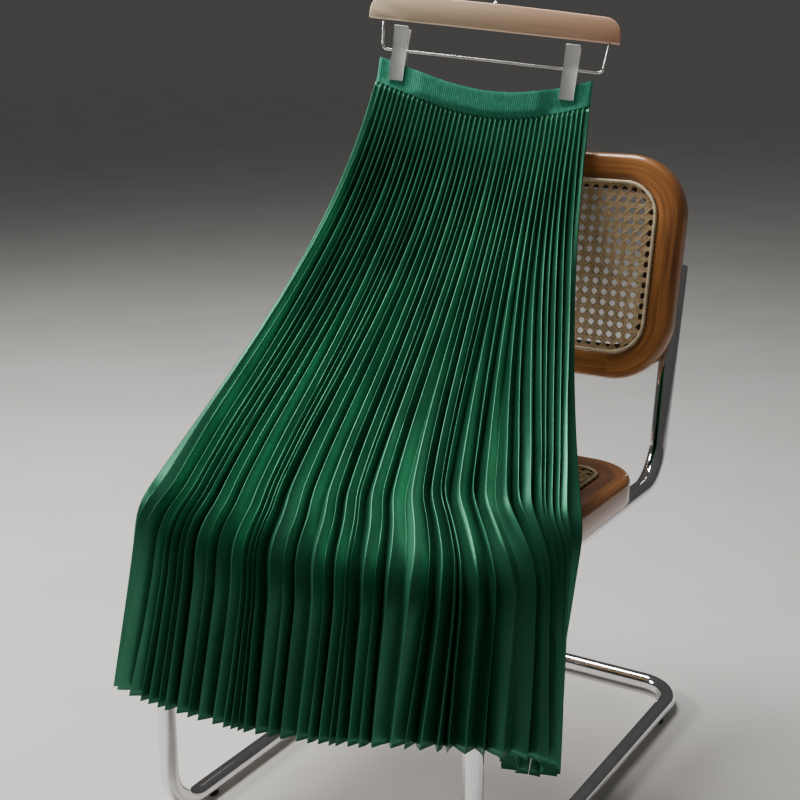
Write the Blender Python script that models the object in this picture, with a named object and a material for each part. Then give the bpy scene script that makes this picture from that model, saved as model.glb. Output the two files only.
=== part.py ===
"""Pleated skirt on a clip hanger, laid over a cantilever chair with a cane seat and back.

Everything is drawn in the chair's frame (x to the chair's right as seen from the front, y to the back,
z up, floor at 0, origin on the floor midway between the front legs), in metres. At the end the whole
part is moved so that its origin is on the floor under the middle of its bounding box.
"""
import math

import bmesh
import bpy
import numpy as np

GAP = 0.0003

# skirt
PLEATS = 44
CLOTH = 0.0012
SKIRT_LENGTH = 0.941
HEM_DROP = 0.015
WAIST_LEFT = np.array((-0.198, 0.475, 0.9465))
WAIST_RIGHT = np.array((0.086, 0.579, 0.916))
WAIST_DIP = 0.031
WAIST_SKEW = 1.12
FIRST_SLOPE = 0.40
LAST_SLOPE = math.radians(34.0)
BEND_RADIUS = 0.045
LONGEST_MITRE = 2.2

# Where the cloth turns over the seat's edge: share across, x, y, z, heading of the free fall in
# degrees, its lean from upright in degrees, and how far it swings off its line before the edge
TURNS = (
    (0.00, -0.207, -0.014, 0.4800, 236.0, 7.0, 0.0),
    (0.12, -0.168, -0.038, 0.4745, 256.0, 7.0, 0.0),
    (0.45, 0.020, -0.039, 0.4701, 268.0, 6.0, 0.0),
    (0.72, 0.190, -0.037, 0.4731, 283.0, 6.0, 2.0),
    (0.86, 0.2622, 0.0175, 0.4782, 300.0, 7.0, 5.0),
    (1.00, 0.276, 0.142, 0.4850, 258.0, 14.0, 8.0),
)

# The pleats down the cloth: share down, half the gap between front and back, width of one face
# of a pleat, unevenness of the pitch
PLEAT_ROWS = (
    (0.00, 0.0045, 0.0052, 0.04),
    (0.05, 0.0080, 0.0075, 0.06),
    (0.14, 0.0115, 0.0115, 0.12),
    (0.35, 0.0145, 0.0150, 0.30),
    (0.60, 0.0150, 0.0170, 0.68),
    (0.73, 0.0125, 0.0175, 0.86),
    (0.82, 0.0165, 0.0185, 0.80),
    (1.00, 0.0245, 0.0205, 0.50),
)
BANDS = (0.0, 0.05, 0.12, 0.24, 0.38, 0.52, 0.63, 0.70, 0.75, 0.80, 0.86, 0.93, 1.0)

# waistband and hanger, in the band's own plane: along the waist, out of the plane, up the plane
BAND_WALL = 0.0022
BAND_HEIGHT = 0.0355
BAND_PINCH = 0.0021
BAND_PINCH_UP = 0.0075
BAND_OPEN = 0.0085
BAND_SWAY = 0.08
HANGER_LEAN = math.radians(12.0)
CLIP_AT = (0.028, 0.270)
CLIP_WIDTH = 0.0205
CLIP_FOOT = 0.0045
CLIP_LENGTH = 0.075
CLIP_SPLAY = 0.009
JAW = 0.0026
JAW_HALF_GAP = BAND_PINCH + BAND_WALL / 2 + GAP
WIRE_UP = 0.047
WIRE_RADIUS = 0.0018
WIRE_ENDS = (-0.001, 0.3180)
BAR_ENDS = (-0.0220, 0.3320)
BAR_UP = 0.0885
BAR_HEIGHT = 0.034
BAR_DEPTH = 0.013
HOOK_RADIUS = 0.0019
HOOK_BEND = 0.020

# chair
TUBE = 0.0125
HALF_SPAN = 0.227
FLOOR_TUBE = 0.0165
RAIL_UP = 0.411
BASE_DEPTH = 0.680
RAIL_BACK = 0.527
TOP_UP = 0.708
BACK_LEAN = math.radians(10.2)
SEAT = {"half_width": 0.250, "depth": 0.455, "front": -0.015, "corner": 0.075, "thick": 0.0362, "rim": 0.042}
BACK = {"half_width": 0.238, "height": 0.311, "middle_up": 0.6965, "corner": 0.085, "thick": 0.027, "rim": 0.036}
CANE = 0.003
CANE_DROP = 0.003
BEAD = 0.0022


def smooth_column(table, column, at):
    """Reads a table's column at any share by a cubic that never overshoots its rows."""
    rows = np.array(table, float)
    x = rows[:, 0]
    y = rows[:, column]
    h = np.diff(x)
    d = np.diff(y) / h
    m = np.zeros(len(x))
    m[0] = d[0]
    m[-1] = d[-1]
    for i in range(1, len(x) - 1):
        if d[i - 1] * d[i] > 0:
            m[i] = (h[i - 1] + h[i]) / (h[i - 1] / d[i] + h[i] / d[i - 1])
    i = np.clip(np.searchsorted(x, at) - 1, 0, len(h) - 1)
    t = (at - x[i]) / h[i]
    start = y[i] * (1 + 2 * t) * (1 - t) ** 2 + m[i] * h[i] * t * (1 - t) ** 2
    end = y[i + 1] * t * t * (3 - 2 * t) + m[i + 1] * h[i] * t * t * (t - 1)
    return start + end


def unit(vectors):
    """Vectors of length one, along the last axis."""
    return vectors / np.linalg.norm(vectors, axis=-1, keepdims=True)


def hanger_axes():
    """The waist plane's own axes: along the waist, out of the plane, up the plane."""
    along = unit(WAIST_RIGHT - WAIST_LEFT)
    level = unit(np.array((along[1], -along[0], 0.0)))
    rise = np.cross(along, -level)
    up = rise * math.cos(HANGER_LEAN) - level * math.sin(HANGER_LEAN)
    out = level * math.cos(HANGER_LEAN) + rise * math.sin(HANGER_LEAN)
    return along, out, up


def waist_dip(share):
    """How far the waist sags below its straight line between the two ends."""
    return WAIST_DIP * np.sin(np.pi * share ** WAIST_SKEW)


def falling_lines(share, steps):
    """Lines down the middle of the cloth: from the waist, over the seat's edge, down to the hem."""
    top = WAIST_LEFT + (WAIST_RIGHT - WAIST_LEFT) * share[:, None]
    top -= waist_dip(share)[:, None] * hanger_axes()[2]
    edge = np.stack([smooth_column(TURNS, k, share) for k in (1, 2, 3)], -1)
    heading = np.radians(smooth_column(TURNS, 4, share))
    lean = np.radians(smooth_column(TURNS, 5, share))
    approach = unit(edge[:, :2] - top[:, :2])
    away = np.stack([np.cos(heading), np.sin(heading)], -1)
    swing = np.radians(smooth_column(TURNS, 6, share))
    over = np.stack([approach[:, 0] * np.cos(swing) - approach[:, 1] * np.sin(swing),
                     approach[:, 0] * np.sin(swing) + approach[:, 1] * np.cos(swing)], -1)
    forward = np.array((0.0, -1.0)) + approach * 0.5
    reach = np.linalg.norm(edge - top, axis=1)[:, None]
    down = np.ones((len(share), 1))
    first = np.concatenate([unit(forward) * FIRST_SLOPE, -down * math.sqrt(1 - FIRST_SLOPE ** 2)], 1)
    last = np.concatenate([over * math.cos(LAST_SLOPE), -down * math.sin(LAST_SLOPE)], 1)
    s = np.linspace(0, 1, 60)[:, None, None]
    near = top + first * reach * 0.33
    far = edge - last * reach * 0.30
    path = top * (1 - s) ** 3 + 3 * near * s * (1 - s) ** 2 + 3 * far * s * s * (1 - s) + edge * s ** 3
    line = list(path)
    turn = math.pi / 2 - lean - LAST_SLOPE
    pieces = 14
    for i in range(pieces):
        f = (i + 0.5) / pieces
        angle = (LAST_SLOPE + turn * f)[:, None]
        flat = unit(over * (1 - f) + away * f)
        step = (BEND_RADIUS * turn / pieces)[:, None]
        line.append(line[-1] + np.concatenate([flat * np.cos(angle), -np.sin(angle)], 1) * step)
    fall = np.concatenate([away * np.sin(lean)[:, None], -np.cos(lean)[:, None]], 1)
    line.append(line[-1] + fall * SKIRT_LENGTH)
    line = np.array(line)
    run = np.linalg.norm(np.diff(line, axis=0), axis=2)
    run = np.concatenate([np.zeros((1, len(share))), np.cumsum(run, 0)], 0)
    even = np.zeros((steps, len(share), 3))
    for k in range(len(share)):
        wanted = np.linspace(0, SKIRT_LENGTH + HEM_DROP * share[k], steps)
        for c in range(3):
            even[:, k, c] = np.interp(wanted, run[:, k], line[:, k, c])
    return even


def soften(grid, axis, times):
    """Averages a grid with its neighbours along one axis, keeping its ends."""
    grid = np.moveaxis(grid, axis, 0).copy()
    for _ in range(times):
        grid[1:-1] = grid[:-2] * 0.25 + grid[1:-1] * 0.5 + grid[2:] * 0.25
    return np.moveaxis(grid, 0, axis)


def middle_sheet(across=161, down=150):
    """The surface halfway between the skirt's front and back, and its outward normals."""
    share = np.linspace(0, 1, across)
    grid = soften(soften(falling_lines(share, down), 1, 12), 0, 6)
    normal = unit(np.cross(np.gradient(grid, axis=0), np.gradient(grid, axis=1)))
    return grid, normal


def uneven(count, share):
    """A fixed pattern of open pleats and of bunched, nearly closed ones between them."""
    wave = np.sin(2.39 * count + 1.0) + 0.6 * np.sin(0.77 * count + 0.4) + 0.3 * np.sin(5.1 * count + 2.2)
    drift = 0.12 * np.sin(1.7 * count + 7.0 * share)
    return np.tanh(2.2 * wave) + drift


def crease_ring(sheet, share, side):
    """Crease points across one panel at a share of its length, and the panel's outward normals."""
    grid, normal = sheet
    row = share * (len(grid) - 1)
    k = int(min(math.floor(row), len(grid) - 2))
    f = row - k
    middle = grid[k] * (1 - f) + grid[k + 1] * f
    outward = normal[k] * (1 - f) + normal[k + 1] * f
    along = unit(np.gradient(middle, axis=0))
    band_along, band_out, _ = hanger_axes()
    like_band = max(1 - share / BAND_SWAY, 0.0)
    along = unit(along * (1 - like_band) + band_along * like_band)
    outward = unit(outward * (1 - like_band) + band_out * like_band)
    run = np.concatenate([[0], np.cumsum(np.linalg.norm(np.diff(middle, axis=0), axis=1))])
    half_gap, face, scatter = [float(smooth_column(PLEAT_ROWS, c, np.array([share]))[0]) for c in (1, 2, 3)]
    straight = run[-1] - 2 * half_gap
    quarter = math.pi * half_gap / 2
    faces = np.arange(PLEATS * 2)
    width = np.exp(scatter * uneven(faces // 2 + (0 if side > 0 else 91), share))
    width = width / width.sum() * (straight + 2 * quarter)
    at = np.concatenate([[0], np.cumsum(width)])
    flat = np.clip(at - quarter, 0, straight) + half_gap
    turn = np.clip((quarter - at) / half_gap, 0, None) * -1
    turn = turn + np.clip((at - quarter - straight) / half_gap, 0, None)
    point = np.stack([np.interp(flat, run, q) for q in middle.T], -1)
    out = np.stack([np.interp(flat, run, q) for q in outward.T], -1)
    tangent = np.stack([np.interp(flat, run, q) for q in along.T], -1)
    out = unit(out * np.cos(turn)[:, None] * side + tangent * np.sin(turn)[:, None])
    rise = np.sqrt(np.clip(face ** 2 - width ** 2, (0.3 * face) ** 2, None))
    height = np.zeros(len(at))
    height[1:-1] = (rise[:-1] + rise[1:]) / 4 * np.where(np.arange(1, len(at) - 1) % 2 == 1, 1.0, -1.0)
    return point + out * (half_gap + height[:, None]), out


def panel(sheet, side):
    """Outer and inner points of one pleated panel, as two grids."""
    rings = [crease_ring(sheet, share, side) for share in BANDS]
    grid = np.array([ring[0] for ring in rings])
    out = np.array([ring[1] for ring in rings])
    down = unit(np.gradient(grid, axis=0))
    faces = unit(np.diff(grid, axis=1))
    wall = unit(np.cross(down[:, :-1] + down[:, 1:], faces))
    wall *= np.sign(np.sum(wall * (out[:, :-1] + out[:, 1:]), axis=2, keepdims=True))
    mitre = out.copy()
    both = wall[:, :-1] + wall[:, 1:]
    mitre[:, 1:-1] = both / np.clip(1 + np.sum(wall[:, :-1] * wall[:, 1:], axis=2, keepdims=True), 0.05, None)
    size = np.linalg.norm(mitre, axis=2, keepdims=True)
    mitre *= np.minimum(size, LONGEST_MITRE) / size
    band_up = hanger_axes()[2]
    mitre[0] -= band_up * (mitre[0] @ band_up)[:, None]
    seam = np.cross(down[:, [0, -1]], out[:, [0, -1]])
    seam = unit(seam)
    inward = unit(grid[:, [1, -2]] - grid[:, [0, -1]])
    seam *= np.sign(np.sum(seam * inward, axis=2, keepdims=True))
    grid[:, [0, -1]] += seam * GAP / 2
    return grid + mitre * CLOTH / 2, grid - mitre * CLOTH / 2


def add_object(name, vertices, faces, colour, roughness, metallic=0.0, smooth=False):
    """One named object with its own material."""
    mesh = bpy.data.meshes.new(name)
    mesh.from_pydata([tuple(map(float, v)) for v in vertices], [], faces)
    mesh.update()
    work = bmesh.new()
    work.from_mesh(mesh)
    bmesh.ops.recalc_face_normals(work, faces=work.faces[:])
    work.to_mesh(mesh)
    work.free()
    for face in mesh.polygons:
        face.use_smooth = smooth
    material = bpy.data.materials.new(name)
    material.use_nodes = True
    shader = material.node_tree.nodes["Principled BSDF"]
    shader.inputs["Base Color"].default_value = (*colour, 1.0)
    shader.inputs["Roughness"].default_value = roughness
    shader.inputs["Metallic"].default_value = metallic
    material.diffuse_color = (*colour, 1.0)
    mesh.materials.append(material)
    thing = bpy.data.objects.new(name, mesh)
    bpy.context.scene.collection.objects.link(thing)
    return thing


def wall_faces(rows, columns, closed):
    """Faces of a wall whose outer grid comes first and whose inner grid follows."""
    def at(layer, row, column):
        return layer * rows * columns + row * columns + column % columns

    faces = []
    spans = columns if closed else columns - 1
    for row in range(rows - 1):
        for column in range(spans):
            for layer in (0, 1):
                quad = [at(layer, row, column), at(layer, row, column + 1)]
                quad += [at(layer, row + 1, column + 1), at(layer, row + 1, column)]
                faces.append(quad)
    for column in range(spans):
        for row in (0, rows - 1):
            faces.append([at(0, row, column), at(0, row, column + 1), at(1, row, column + 1), at(1, row, column)])
    if not closed:
        for row in range(rows - 1):
            for column in (0, columns - 1):
                faces.append([at(0, row, column), at(0, row + 1, column), at(1, row + 1, column), at(1, row, column)])
    return faces


def swept(rings, closed_path):
    """Vertices and faces of a solid through rings of equal length; open ends are capped."""
    count = len(rings)
    size = len(rings[0])
    faces = []
    for i in range(count if closed_path else count - 1):
        j = (i + 1) % count
        for k in range(size):
            n = (k + 1) % size
            faces.append([i * size + k, i * size + n, j * size + n, j * size + k])
    if not closed_path:
        faces.append(list(range(size)))
        faces.append([(count - 1) * size + k for k in range(size)])
    return np.concatenate(rings), faces


def rounded_path(corners, radii, pieces):
    """A path through corners, each turned on an arc of its own radius."""
    corners = [np.array(c, float) for c in corners]
    path = [corners[0]]
    for i in range(1, len(corners) - 1):
        before = unit(corners[i - 1] - corners[i])
        after = unit(corners[i + 1] - corners[i])
        half = math.acos(float(np.clip(before @ after, -1, 1))) / 2
        radius = radii[i - 1]
        centre = corners[i] + unit(before + after) * radius / math.sin(half)
        start = corners[i] + before * radius / math.tan(half) - centre
        end = corners[i] + after * radius / math.tan(half) - centre
        sweep = math.pi - 2 * half
        for k in range(pieces + 1):
            f = k / pieces
            arc = (start * math.sin(sweep * (1 - f)) + end * math.sin(sweep * f)) / math.sin(sweep)
            path.append(centre + arc)
    path.append(corners[-1])
    return np.array(path)


def tube_rings(path, radius, sides):
    """Round sections along a path, carried along without twisting."""
    along = unit(np.gradient(path, axis=0))
    rough = np.array((0.0, 0.0, 1.0)) if abs(along[0][2]) < 0.9 else np.array((1.0, 0.0, 0.0))
    first = unit(np.cross(along[0], rough))
    rings = []
    for point, direction in zip(path, along):
        first = unit(first - direction * (first @ direction))
        second = np.cross(direction, first)
        angles = np.arange(sides) * 2 * math.pi / sides
        rings.append(point + radius * (np.cos(angles)[:, None] * first + np.sin(angles)[:, None] * second))
    return rings


def rounded_outline(half_width, low, high, corner, pieces):
    """A rectangle with round corners, from its lower right corner round to its lower left."""
    centres = ((half_width, low, -90.0), (half_width, high, 0.0), (-half_width, high, 90.0), (-half_width, low, 180.0))
    outline = []
    for x, y, turn in centres:
        cx = x - math.copysign(corner, x)
        cy = y + corner if y == low else y - corner
        for k in range(pieces + 1):
            angle = math.radians(turn + 90.0 * k / pieces)
            outline.append((cx + corner * math.cos(angle), cy + corner * math.sin(angle)))
    return np.array(outline)


def inset(outline, amount):
    """The same outline, moved inwards."""
    before = unit(outline - np.roll(outline, 1, axis=0))
    after = unit(np.roll(outline, -1, axis=0) - outline)
    normal = unit(np.stack([-(before + after)[:, 1], (before + after)[:, 0]], -1))
    return outline + normal * amount


def frame_rings(outline, rim, thick, ease):
    """Sections of a wooden rim with eased edges, round an outline; height runs from 0 to thick."""
    section = (
        (0.0, ease), (0.0, thick - ease), (ease * 0.5, thick - ease * 0.25), (ease * 1.6, thick),
        (rim - 0.003, thick), (rim, thick - 0.003), (rim, 0.0), (ease, 0.0),
    )
    loops = []
    for depth, height in section:
        flat = inset(outline, depth)
        loops.append(np.concatenate([flat, np.full((len(flat), 1), height)], 1))
    return list(np.stack(loops, 1))


def slab(outline, low, high):
    """A flat plate between two heights."""
    count = len(outline)
    rings = []
    for height in (low, high):
        rings.append(np.concatenate([outline, np.full((count, 1), height)], 1))
    return swept(rings, False)


def bead_rings(outline, height, radius):
    """A thin round bead along an outline."""
    rings = []
    normal = unit(inset(outline, 0.001) - outline)
    for point, inwards in zip(outline, normal):
        ring = []
        for k in range(6):
            angle = math.radians(60.0 * k)
            flat = point + inwards * radius * math.cos(angle)
            ring.append((flat[0], flat[1], height + radius * math.sin(angle)))
        rings.append(np.array(ring))
    return rings


def seat_place(points):
    """From the seat's own plan to the chair's frame."""
    return points + np.array((0.0, 0.0, RAIL_UP + TUBE + GAP))


def back_place(points):
    """From the backrest's own plan (x across, y up the back, z towards the front) to the chair's frame."""
    up = np.array((0.0, math.sin(BACK_LEAN), math.cos(BACK_LEAN)))
    front = np.array((0.0, -math.cos(BACK_LEAN), math.sin(BACK_LEAN)))
    foot = RAIL_BACK + (BACK["middle_up"] - RAIL_UP) * math.tan(BACK_LEAN)
    middle = np.array((0.0, foot, BACK["middle_up"])) + front * (TUBE + GAP)
    across = np.array((1.0, 0.0, 0.0))
    return middle + points[:, [0]] * across + points[:, [1]] * up + points[:, [2]] * front


def hanger_place(points):
    """From the waist's own plane (along, out, up) to the chair's frame."""
    points = np.asarray(points, float)
    along, out, up = hanger_axes()
    return WAIST_LEFT + points[..., [0]] * along + points[..., [1]] * out + points[..., [2]] * up


def band_loop(height, growth):
    """The waistband's closed outline at a height, grown outwards by half its wall."""
    length = float(np.linalg.norm(WAIST_RIGHT - WAIST_LEFT))
    end = PLEAT_ROWS[0][1]
    share = np.linspace(0, 1, 25)
    along = end + (length - 2 * end) * share
    rise = np.clip((height - GAP) / (BAND_PINCH_UP - GAP), 0, 1)
    squeeze = np.ones(len(along))
    for clip in CLIP_AT:
        squeeze = np.minimum(squeeze, np.clip((abs(along - clip) - CLIP_WIDTH / 2 - 0.001) / 0.030, 0, 1))
    wide = np.where((along > CLIP_AT[0]) & (along < CLIP_AT[1]), BAND_OPEN, end)
    top = BAND_PINCH + (wide - BAND_PINCH) * squeeze ** 2 * (3 - 2 * squeeze)
    half = end + (top - end) * rise
    ends = np.radians((-60.0, -30.0, 0.0, 30.0, 60.0))
    stations = [(a, h + growth, a) for a, h in zip(along, half)]
    for a in ends:
        wide = half[-1] + growth
        stations.append((along[-1] + wide * math.cos(a), -wide * math.sin(a), along[-1]))
    stations += [(a, -h - growth, a) for a, h in zip(along[::-1], half[::-1])]
    for a in ends:
        wide = half[0] + growth
        stations.append((along[0] - wide * math.cos(a), wide * math.sin(a), along[0]))
    return hanger_place([(a, out, height - waist_dip(line / length)) for a, out, line in stations])


def build_skirt():
    """The two pleated panels and the waistband."""
    sheet = middle_sheet()
    for name, side in (("skirt_front", 1), ("skirt_back", -1)):
        outer, inner = panel(sheet, side)
        rows, columns = outer.shape[:2]
        vertices = np.concatenate([outer.reshape(-1, 3), inner.reshape(-1, 3)])
        add_object(name, vertices, wall_faces(rows, columns, False), (0.010, 0.130, 0.070), 0.38)
    heights = (GAP, BAND_PINCH_UP, BAND_HEIGHT)
    outer = np.array([band_loop(h, BAND_WALL / 2) for h in heights])
    inner = np.array([band_loop(h, -BAND_WALL / 2) for h in heights])
    vertices = np.concatenate([outer.reshape(-1, 3), inner.reshape(-1, 3)])
    faces = wall_faces(len(heights), outer.shape[1], True)
    add_object("waistband", vertices, faces, (0.030, 0.300, 0.170), 0.75)


def jaw_profile(side):
    """One jaw seen from the clip's edge: (out, up) points round it."""
    near = JAW_HALF_GAP
    far = near + JAW
    bend = WIRE_UP + 0.006
    top = CLIP_FOOT + CLIP_LENGTH
    ease = 0.0008
    profile = (
        (near, CLIP_FOOT), (near, bend), (near + CLIP_SPLAY, top),
        (far + CLIP_SPLAY - ease, top), (far + CLIP_SPLAY, top - ease),
        (far, bend), (far, CLIP_FOOT + ease), (far - ease, CLIP_FOOT),
    )
    return [(out * side, up) for out, up in profile]


def build_clip(name, centre):
    """A clip: two jaws and the spring tube that the wire runs through."""
    for part, side in (("front_jaw", 1), ("back_jaw", -1)):
        profile = jaw_profile(side)
        rings = []
        for offset in (-CLIP_WIDTH / 2, CLIP_WIDTH / 2):
            rings.append(hanger_place([(centre + offset, out, up) for out, up in profile]))
        vertices, faces = swept(rings, False)
        add_object(f"{name}_{part}", vertices, faces, (0.85, 0.86, 0.85), 0.35)
    rings = []
    half = CLIP_WIDTH / 2 - 0.001
    inner = WIRE_RADIUS + GAP
    outer = JAW_HALF_GAP - GAP
    for offset, radius in ((-half, inner), (-half, outer), (half, outer), (half, inner)):
        ring = []
        for k in range(12):
            angle = math.radians(30.0 * k)
            ring.append((centre + offset, radius * math.cos(angle), WIRE_UP + radius * math.sin(angle)))
        rings.append(hanger_place(ring))
    vertices, faces = swept(rings, True)
    add_object(f"{name}_spring", vertices, faces, (0.65, 0.66, 0.67), 0.25, 1.0, True)


def build_hanger():
    """The wooden bar, its wire, the hook and the two clips."""
    low, high = BAR_ENDS
    length = high - low
    radius = 0.024
    outline = [(low, 0.0), (high, 0.0)]
    for k in range(7):
        angle = math.radians(15.0 * k)
        outline.append((high - radius + radius * math.cos(angle), BAR_HEIGHT - radius + radius * math.sin(angle)))
    outline.append((low + length / 2, BAR_HEIGHT + 0.002))
    for k in range(7):
        angle = math.radians(90.0 + 15.0 * k)
        outline.append((low + radius + radius * math.cos(angle), BAR_HEIGHT - radius + radius * math.sin(angle)))
    outline = np.array(outline)
    middle = np.array((low + length / 2, BAR_HEIGHT / 2))
    rings = []
    for out, shrink in ((-BAR_DEPTH / 2, 0.0016), (-BAR_DEPTH / 2 + 0.0016, 0.0),
                        (BAR_DEPTH / 2 - 0.0016, 0.0), (BAR_DEPTH / 2, 0.0016)):
        flat = outline - np.sign(outline - middle) * shrink
        rings.append(hanger_place([(a, out, BAR_UP + u) for a, u in flat]))
    vertices, faces = swept(rings, False)
    add_object("hanger_bar", vertices, faces, (0.62, 0.42, 0.27), 0.45)

    left, right = WIRE_ENDS
    top = BAR_UP - GAP
    corners = [(left, 0, top), (left + 0.0035, 0, WIRE_UP), (right - 0.0035, 0, WIRE_UP), (right, 0, top)]
    path = rounded_path(corners, (0.008, 0.008), 5)
    vertices, faces = swept([hanger_place(r) for r in tube_rings(path, WIRE_RADIUS, 8)], False)
    add_object("hanger_wire", vertices, faces, (0.70, 0.70, 0.70), 0.25, 1.0, True)

    centre = low + length / 2
    seat = BAR_UP + BAR_HEIGHT + 0.002 + GAP
    rings = []
    for up, wide in ((0.0, 0.0050), (0.0015, 0.0050), (0.0065, 0.0036), (0.0075, 0.0030)):
        ring = []
        for k in range(12):
            angle = math.radians(30.0 * k)
            ring.append((centre + wide * math.cos(angle), wide * math.sin(angle), seat + up))
        rings.append(hanger_place(ring))
    vertices, faces = swept(rings, False)
    add_object("hanger_ferrule", vertices, faces, (0.70, 0.70, 0.70), 0.25, 1.0, True)

    stem = seat + 0.0075 + GAP
    path = [(centre, 0.0, stem), (centre, 0.0, stem + 0.010)]
    middle = stem + 0.022 + HOOK_BEND
    for k in range(17):
        angle = math.radians(-75.0 - 14.0 * k)
        path.append((centre - HOOK_BEND * math.cos(angle), 0.0, middle + HOOK_BEND * math.sin(angle)))
    vertices, faces = swept([hanger_place(r) for r in tube_rings(np.array(path), HOOK_RADIUS, 8)], False)
    add_object("hanger_hook", vertices, faces, (0.70, 0.70, 0.70), 0.25, 1.0, True)
    for name, centre in zip(("clip_left", "clip_right"), CLIP_AT):
        build_clip(name, centre)


def build_chair():
    """The bent tube, the seat, the backrest and the glides."""
    rise = TOP_UP - RAIL_UP
    half = [
        (HALF_SPAN, RAIL_BACK + rise * math.tan(BACK_LEAN), TOP_UP),
        (HALF_SPAN, RAIL_BACK, RAIL_UP),
        (HALF_SPAN, 0.0, RAIL_UP),
        (HALF_SPAN, 0.0, FLOOR_TUBE),
        (HALF_SPAN, BASE_DEPTH, FLOOR_TUBE),
    ]
    corners = half + [(-x, y, z) for x, y, z in half[::-1]]
    path = rounded_path(corners, (0.060, 0.060, 0.060, 0.055, 0.055, 0.060, 0.060, 0.060), 6)
    vertices, faces = swept(tube_rings(path, TUBE, 12), False)
    add_object("chair_tube", vertices, faces, (0.62, 0.63, 0.64), 0.12, 1.0, True)

    wood = (0.36, 0.150, 0.045)
    cane = (0.60, 0.43, 0.24)
    bead = (0.70, 0.56, 0.36)
    for name, size, low, high, place in (
        ("seat", SEAT, SEAT["front"], SEAT["front"] + SEAT["depth"], seat_place),
        ("back", BACK, -BACK["height"] / 2, BACK["height"] / 2, back_place),
    ):
        outline = rounded_outline(size["half_width"], low, high, size["corner"], 5)
        rings = [place(r) for r in frame_rings(outline, size["rim"], size["thick"], 0.006)]
        vertices, faces = swept(rings, True)
        add_object(f"{name}_frame", vertices, faces, wood, 0.35, 0.0, False)
        top = size["thick"] - CANE_DROP
        inside = inset(outline, size["rim"] + GAP)
        vertices, faces = slab(inside, top - CANE, top)
        add_object(f"{name}_cane", place(vertices), faces, cane, 0.6)
        line = inset(outline, size["rim"] + GAP + BEAD)
        rings = [place(r) for r in bead_rings(line, top + GAP + BEAD * math.sin(math.pi / 3), BEAD)]
        vertices, faces = swept(rings, True)
        add_object(f"{name}_bead", vertices, faces, bead, 0.5)

    for name, x, y in (
        ("glide_front_right", HALF_SPAN, 0.085), ("glide_front_left", -HALF_SPAN, 0.085),
        ("glide_rear_right", HALF_SPAN, BASE_DEPTH - 0.085), ("glide_rear_left", -HALF_SPAN, BASE_DEPTH - 0.085),
    ):
        top = FLOOR_TUBE - TUBE - GAP
        rings = []
        for height, wide in ((0.0, 0.0085), (0.001, 0.0095), (top, 0.0095)):
            angles = [math.radians(30.0 * k) for k in range(12)]
            rings.append(np.array([(x + wide * math.cos(a), y + wide * math.sin(a), height) for a in angles]))
        vertices, faces = swept(rings, False)
        add_object(name, vertices, faces, (0.03, 0.03, 0.03), 0.6, 0.0, True)


def stand_on_origin(things):
    """Moves every mesh so that the origin is on the floor under the middle of the bounding box."""
    points = np.concatenate([np.array([v.co[:] for v in thing.data.vertices]) for thing in things])
    low = points.min(axis=0)
    high = points.max(axis=0)
    shift = np.array(((low[0] + high[0]) / 2, (low[1] + high[1]) / 2, low[2]))
    for thing in things:
        for vertex in thing.data.vertices:
            vertex.co = [float(c) for c in np.array(vertex.co[:]) - shift]
    print("moved by", shift.round(5), "size", (high - low).round(4))


def main():
    for thing in list(bpy.data.objects):
        bpy.data.objects.remove(thing, do_unlink=True)
    build_skirt()
    build_hanger()
    build_chair()
    stand_on_origin([thing for thing in bpy.data.objects if thing.type == "MESH"])


main()
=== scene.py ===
import math

import bmesh
import bpy
import numpy as np
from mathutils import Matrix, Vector


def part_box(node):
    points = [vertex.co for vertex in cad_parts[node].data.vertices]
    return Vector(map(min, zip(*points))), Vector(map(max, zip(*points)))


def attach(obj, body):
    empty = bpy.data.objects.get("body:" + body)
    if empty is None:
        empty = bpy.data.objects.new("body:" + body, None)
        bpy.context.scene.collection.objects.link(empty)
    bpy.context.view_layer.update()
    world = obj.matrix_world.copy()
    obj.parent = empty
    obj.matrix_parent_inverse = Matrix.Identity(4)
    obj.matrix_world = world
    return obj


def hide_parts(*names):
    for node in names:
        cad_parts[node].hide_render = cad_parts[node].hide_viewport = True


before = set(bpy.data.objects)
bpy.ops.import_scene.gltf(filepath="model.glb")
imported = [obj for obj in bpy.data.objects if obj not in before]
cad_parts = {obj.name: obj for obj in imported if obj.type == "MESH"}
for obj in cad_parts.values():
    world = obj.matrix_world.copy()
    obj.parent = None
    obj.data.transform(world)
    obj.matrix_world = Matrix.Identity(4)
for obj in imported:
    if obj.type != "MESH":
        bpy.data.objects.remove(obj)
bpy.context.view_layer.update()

# The chair's frame has its origin on the floor midway between the front legs. The part's origin is
# elsewhere on the floor, so a glide's known place in the chair's frame gives the way between the two.
HALF_SPAN = 0.227
glide_low, glide_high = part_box("glide_front_right")
SHIFT = np.array((HALF_SPAN, 0.085, 0.0)) - np.array((glide_low + glide_high) / 2) * np.array((1.0, 1.0, 0.0))

GAP = 0.0003

# skirt
PLEATS = 44
SKIRT_LENGTH = 0.941
HEM_DROP = 0.015
WAIST_LEFT = np.array((-0.198, 0.475, 0.9465))
WAIST_RIGHT = np.array((0.086, 0.579, 0.916))
WAIST_DIP = 0.031
WAIST_SKEW = 1.12
FIRST_SLOPE = 0.40
LAST_SLOPE = math.radians(34.0)
BEND_RADIUS = 0.045

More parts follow.
